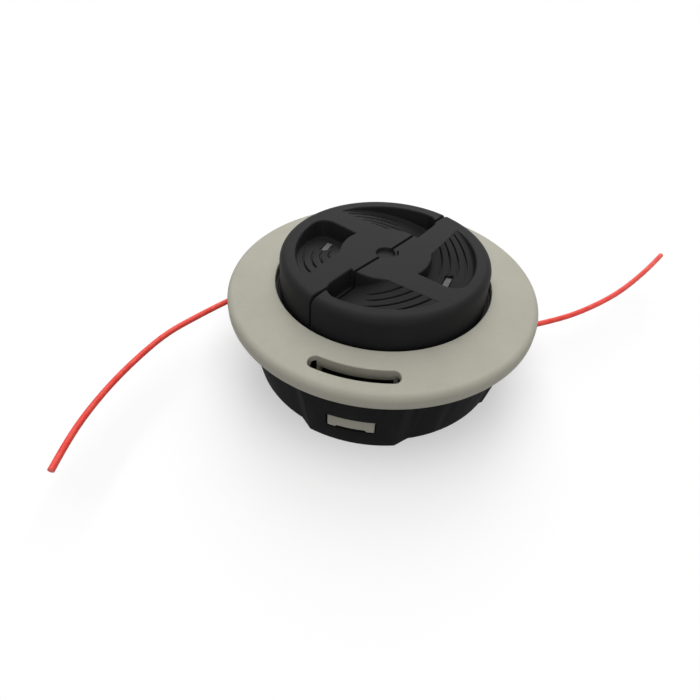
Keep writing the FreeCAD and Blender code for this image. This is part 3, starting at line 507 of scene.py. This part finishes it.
def knob_skin():
    """The knob as heights over a polar grid. Rows are circles, crowded where a wall or a groove runs
    round, then the rounded rim, the side, a lip round the foot and the inside. Columns swing with the
    radius, so that they lie along each pocket's upright wall and its round corner, along the ramp's level
    lines and along the slit."""
    top, dish, radius, rim_round, skirt, foot = 53.1, 0.8, 42.8, 3.0, 43.3, 34.6
    lip, lip_height, wall, inside_top = 44.5, 0.7, 2.6, 37.5
    inner, outer, corner = 18.5, 36.3, 6.0
    deep_end, shallow_end, groove_deep, groove_shallow = 9.2, 0.3, 7.8, 2.8
    turn_0, turn_1, push_0, push_1 = 237.0, 329.6, 3.4, 14.8
    groove_first, groove_half, groove_spacing, groove_margin = 22.7, 0.4, 3.4, 0.3
    grooves = groove_first + groove_half + groove_spacing * np.arange(4)
    slit, slit_half, slit_floor = 233.3, 0.55, 39.1
    slit_edge, slit_flare, flare_run = 0.15, 0.65, 3.0
    hook_in, hook_out, hook_from, hook_to, hook_floor = 25.2, 28.4, 0.194, 0.4265, 40.2
    recess, recess_depth = 4.0, 1.5
    notch_x, notch_y, notch_half_width, notch_half_length = 4.9, 0.57, 0.3, 1.7
    centre_swing, outside = 12.0, -9.0

    wall_steps = np.array([-0.6, -0.42, -0.25, -0.1, 0.0, 0.1, 0.17, 0.28, 0.45, 0.7, 1.0, 1.35])
    groove_steps = np.array([0.0, 0.24, 0.3, 0.36, groove_half, 0.46, 0.52])
    groove_steps = np.concatenate([-groove_steps[:0:-1], groove_steps])
    hole_steps = np.array([-0.15, -0.08, 0.0, 0.05, 0.1, 0.16])
    flat_r = np.concatenate([
        [0.0, 1.2, 2.4, 3.2, 3.6], recess - hole_steps, np.arange(4.3, 5.8, 0.1),
        [6.3, 7.0, 8.0, 9.5, 11.0, 12.5, 14.0, 15.5, 16.8, 17.5], inner + wall_steps,
        outer - wall_steps, [20.6, 21.4, 34.4, 37.4, 38.2, 39.0, 39.8],
        (grooves[:, None] + groove_steps).ravel(),
        grooves[:3] + 1.1, grooves[:3] + 2.3, hook_in + hole_steps, hook_out - hole_steps])
    flat_r = np.unique(np.round(flat_r, 4))
    flat_z = top - dish * (1 - flat_r / radius)
    bend = np.radians(np.linspace(0, 90, 10))[1:]
    start = radius - rim_round
    rise = flat_z[-1] - (top - rim_round)
    side_z = np.linspace(top - rim_round, foot + lip_height, 9)[1:]
    draft = (skirt - radius) * (top - rim_round - side_z) / (top - rim_round - foot)
    r = np.concatenate([flat_r, start + rim_round * np.sin(bend), radius + draft])[:, None]
    skin_z = np.concatenate([flat_z, top - rim_round + rise * np.cos(bend), side_z])[:, None]
    zone = np.clip(r, inner, outer)

    def level_line(way):
        """Angle at which a level line of the ramp crosses each circle: the lines turn and move out along
        the way."""
        push = push_0 + way * (push_1 - push_0)
        return turn_0 + way * (turn_1 - turn_0) - np.degrees(np.arcsin(push / zone))

    def across(millimetres):
        """Angle that a width takes up on each circle: the width over the radius."""
        return np.degrees(millimetres / np.maximum(r, inner))

    corner_n = corner - push_0
    corner_s = math.sqrt((outer - corner) ** 2 - corner_n ** 2)
    corner_r = outer - corner
    corner_turn = turn_0 + math.degrees(math.atan2(corner_n, corner_s))
    reach = np.clip((zone ** 2 + corner_r ** 2 - corner ** 2) / (2 * zone * corner_r), -1, 1)
    on_corner = zone > math.hypot(corner_s, push_0)
    wall_line = np.where(on_corner, corner_turn - np.degrees(np.arccos(reach)), level_line(0.0))
    wall_column = wall_line - centre_swing * np.clip((inner - r) / (inner - recess), 0, 1)
    end_line = level_line(1.0)
    slit_steps = np.array([0.0, 0.5, slit_half, 0.58, 0.63, 0.7, 0.8, 0.95, 1.15, 1.45])
    slit_steps = np.concatenate([-slit_steps[:0:-1], slit_steps])
    slit_columns = slit + np.degrees(np.arcsin(np.clip(slit_steps / np.maximum(r, recess), -1, 1)))
    past_slit = slit_columns[:, -1:]
    ramp_start, ramp_stop = 0.17, 0.985
    ramp_columns = np.concatenate([
        past_slit + np.array([0.25, 0.5, 0.75]) * (level_line(ramp_start) - past_slit),
        level_line(np.linspace(ramp_start, ramp_stop, 36)),
        level_line(hook_from) + across(hole_steps), level_line(hook_to) - across(hole_steps)], 1)
    share = (ramp_columns - past_slit) / (end_line - past_slit)
    share = np.where(r < inner, share[np.argmin(np.abs(r - inner))], share)
    ramp_columns = past_slit + share * (end_line - past_slit)
    wall_columns = wall_column + across(np.concatenate([[-1.0], wall_steps]))
    end_columns = end_line + across(np.array([-0.3, -0.2, -0.1, -0.05, 0.0, 0.1, 0.2]))
    arm_start = end_columns[:, -1:]
    arm_end = np.minimum(wall_columns[:, :1], slit_columns[:, :1]) + 90
    arm_columns = arm_start + np.linspace(0, 1, 15)[1:-1] * (arm_end - arm_start)
    sector = np.sort(np.concatenate([wall_columns, slit_columns, ramp_columns, end_columns, arm_columns], 1),
                     axis=1)
    angle = np.concatenate([sector + 90 * k for k in range(4)], 1)
    own = np.repeat(np.arange(4), sector.shape[1])[None]
    local = angle - 90 * own

    # The way along the ramp at each point starts as a guess, which is put back in until it settles.
    way = np.clip((local - level_line(0.0)) / (end_line - level_line(0.0)), 0, 1)
    for _ in range(60):
        push = (push_0 + way * (push_1 - push_0)) / zone
        way = np.clip((local + np.degrees(np.arcsin(push)) - turn_0) / (turn_1 - turn_0), 0, 1)
    ramp_z = top - deep_end - way * (shallow_end - deep_end)
    groove_z = top - groove_deep - way * (groove_shallow - groove_deep)
    along = r * np.cos(np.radians(local - turn_0))
    aside = r * np.sin(np.radians(local - turn_0))
    to_corner = np.hypot(along - corner_s, aside - corner_n)
    past_corner = (aside < corner_n) & (along * corner_n - aside * corner_s > 0) & (along > corner_s)
    from_end = np.radians(end_line - local) * zone
    within = np.minimum(np.minimum(r - inner, outer - r), np.minimum(from_end, aside + push_0))
    within = np.where(past_corner, corner - to_corner, within)
    height = skin_z - sunk(within, skin_z - ramp_z, top_round=0.6, foot_round=1.2, draft=0.1)
    in_groove = groove_half - np.abs(r[..., None] - grooves).min(axis=-1)
    in_groove = np.minimum(np.minimum(in_groove, from_end), within - groove_margin)
    height = height - sunk(in_groove, ramp_z - groove_z, top_round=0.12, foot_round=0.12, draft=0.04)
    hook_run = np.minimum(np.minimum(r - hook_in, hook_out - r),
                          np.minimum(np.radians(local - level_line(hook_from)) * zone,
                                     np.radians(level_line(hook_to) - local) * zone))
    hook_run = np.where(own % 2 == 1, hook_run, outside)
    height = height - sunk(hook_run, height - hook_floor, top_round=0.15, foot_round=0.1, draft=0.05)
    slit_run = np.minimum(slit_half - np.abs(r * np.sin(np.radians(local - slit))), r - recess)
    slit_run = np.where((own % 2 == 0) & (np.cos(np.radians(local - slit)) > 0), slit_run, outside)
    slit_round = slit_edge + slit_flare * np.clip((r - outer) / flare_run, 0, 1)
    height = height - sunk(slit_run, height - slit_floor, slit_round, foot_round=0.02, draft=0.03)
    height = height - sunk(recess - r, recess_depth, top_round=0.15, foot_round=0.1, draft=0.05)
    x = r * np.cos(np.radians(angle))
    y = r * np.sin(np.radians(angle))
    notch_run = np.minimum(notch_half_width - np.abs(x - notch_x), notch_half_length - np.abs(y - notch_y))
    height = height - sunk(notch_run, recess_depth, top_round=0.1, foot_round=0.1, draft=0.05)
    skin = np.stack([x, y, height], -1)

    last = angle[-1:]
    inside_r = np.array([lip, lip, skirt - wall, skirt - wall, 20.0, 0.0])[:, None]
    inside_z = np.array([foot + lip_height, foot, foot, inside_top, inside_top, inside_top])[:, None]
    inside = at_angles(inside_r + 0 * last, inside_z + 0 * last, last)
    return np.concatenate([skin, inside])


# Black unfilled nylon: tougher on the ground, with a soft satin sheen that lifts the top faces to a dark
# grey.
knob_nylon = moulded_nylon("black_unfilled_nylon", "#232324", "#29292a",
                           roughness=0.5, sheen=0.05, grain_mm=0.7)
finished("knob_skin", grid_mesh("knob_skin", [(knob_skin(), False, True)]), knob_nylon,
         "spool", "bump_knob")


# Free lines: two lengths of extruded nylon, 2.4 mm across and slightly clear. Each is bent by its
# eyelet, keeps the curl of the spool, and ends where it was cut.

def free_line(name, node, route):
    """A round line along one smooth spline that its route steers, in millimetres, at the eyelets'
    height."""
    height, radius = 0.023, 0.0012
    curve = bpy.data.curves.new(name, "CURVE")
    curve.dimensions = "3D"
    spline = curve.splines.new("NURBS")
    spline.points.add(len(route) - 1)
    spline.points.foreach_set("co", [v for x, y in route for v in (x / 1000, y / 1000, height, 1.0)])
    spline.order_u = 3
    spline.use_endpoint_u = True
    spline.resolution_u = 12
    curve.bevel_depth = radius
    curve.bevel_resolution = 5
    curve.use_fill_caps = True
    curve.materials.append(red_line)
    line = bpy.data.objects.new(name, curve)
    bpy.context.scene.collection.objects.link(line)
    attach(line, "housing")
    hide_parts(node)


free_line("free_line_left", "line_left",
          [(-50.8, 6.1), (-59.3, 4.6), (-68.8, -5.3), (-78.0, -16.6), (-86.6, -28.0), (-92.6, -42.5),
           (-97.2, -57.5), (-100.0, -72.5), (-100.9, -85.5), (-100.5, -96.7)])
free_line("free_line_right", "line_right",
          [(50.8, -6.1), (59.3, -4.6), (71.8, 0.9), (84.6, 7.6), (96.6, 16.2), (108.0, 25.7),
           (118.2, 36.2), (128.0, 47.5), (135.6, 56.9), (140.9, 63.9)])


# Studio: a plain white floor under a broad soft lamp overhead, with weaker soft lamps behind and in
# front, and a weak even light from all round. The floor and the sky are white where they are looked at.

floor_mesh = bpy.data.meshes.new("floor")
floor_half, floor_z = 3, -0.0002
floor_mesh.from_pydata([(-floor_half, -floor_half, floor_z), (floor_half, -floor_half, floor_z),
                        (floor_half, floor_half, floor_z), (-floor_half, floor_half, floor_z)],
                       [], [(0, 1, 2, 3)])
floor = bpy.data.objects.new("floor", floor_mesh)
bpy.context.scene.collection.objects.link(floor)


def seen_directly(material):
    """One where a ray comes from the camera, a mirror or a clear piece, and nought for light that only
    fills in."""
    ray = add(material, "ShaderNodeLightPath", {})
    sharp = add(material, "ShaderNodeMath",
                {0: ray.outputs["Is Camera Ray"], 1: ray.outputs["Is Glossy Ray"]}, operation="MAXIMUM")
    return add(material, "ShaderNodeMath",
               {0: sharp.outputs[0], 1: ray.outputs["Is Transmission Ray"]}, operation="MAXIMUM").outputs[0]


# White floor: near the head it is pale enough to take a soft shadow, and further out it fades to plain
# white. To the light that only fills in, it is a mid grey.
white_floor = empty_material("white_floor")
fade_start, fade_end = 0.25, 0.9
floor_fill = add(white_floor, "ShaderNodeBsdfDiffuse", {"Color": linear("#adadad")})
floor_pale = add(white_floor, "ShaderNodeBsdfDiffuse", {"Color": linear("#cbcbcb")})
floor_glow = add(white_floor, "ShaderNodeEmission", {"Strength": 0.45})
floor_near = add(white_floor, "ShaderNodeAddShader",
                 {0: floor_pale.outputs["BSDF"], 1: floor_glow.outputs["Emission"]})
floor_far = add(white_floor, "ShaderNodeEmission", {"Strength": 1.0})
floor_place = add(white_floor, "ShaderNodeTexCoord", {})
floor_reach = add(white_floor, "ShaderNodeVectorMath", {0: floor_place.outputs["Object"]},
                  operation="LENGTH")
floor_fade = add(white_floor, "ShaderNodeMapRange",
                 {"Value": floor_reach.outputs["Value"], "From Min": fade_start, "From Max": fade_end},
                 interpolation_type="SMOOTHSTEP")
floor_seen = add(white_floor, "ShaderNodeMixShader",
                 {0: floor_fade.outputs["Result"], 1: floor_near.outputs["Shader"],
                  2: floor_far.outputs["Emission"]})
floor_mix = add(white_floor, "ShaderNodeMixShader",
                {0: seen_directly(white_floor), 1: floor_fill.outputs["BSDF"],
                 2: floor_seen.outputs["Shader"]})
add(white_floor, "ShaderNodeOutputMaterial", {"Surface": floor_mix.outputs["Shader"]})
floor_mesh.materials.append(white_floor)

world = bpy.data.worlds.new("studio")
bpy.context.scene.world = world
world.use_nodes = True
world.node_tree.nodes.clear()
level = add(world, "ShaderNodeMapRange",
            {"Value": seen_directly(world), "To Min": 0.15, "To Max": 1.0})
sky = add(world, "ShaderNodeBackground",
          {"Color": linear("#ffffff"), "Strength": level.outputs["Result"]})
add(world, "ShaderNodeOutputWorld", {"Surface": sky.outputs["Background"]})

for lamp_name, place, size, power in (("overhead_softbox", (0.0, -0.1, 1.7), 1.6, 18.5),
                                      ("back_softbox", (0.0, 1.2, 1.2), 1.2, 12.0),
                                      ("front_softbox", (0.0, -1.6, 0.6), 0.8, 4.5)):
    light = bpy.data.lights.new(lamp_name, "AREA")
    light.size = size
    light.energy = power
    lamp = bpy.data.objects.new(lamp_name, light)
    lamp.location = place
    lamp.rotation_euler = (-lamp.location).to_track_quat("-Z", "Y").to_euler()
    bpy.context.scene.collection.objects.link(lamp)

# The camera stands a forearm's length from the head, above its front edge, tilted a little.
lens = bpy.data.cameras.new("camera")
lens.sensor_width = 36.0
lens.lens = 27.66
lens.clip_start = 0.01
camera = bpy.data.objects.new("camera", lens)
camera.location = (0.0, -0.18509, 0.17394)
camera.rotation_euler = (0.80653, -0.03415, 0.10057)
bpy.context.scene.collection.objects.link(camera)
bpy.context.scene.camera = camera
bpy.context.scene.view_settings.view_transform = "Standard"
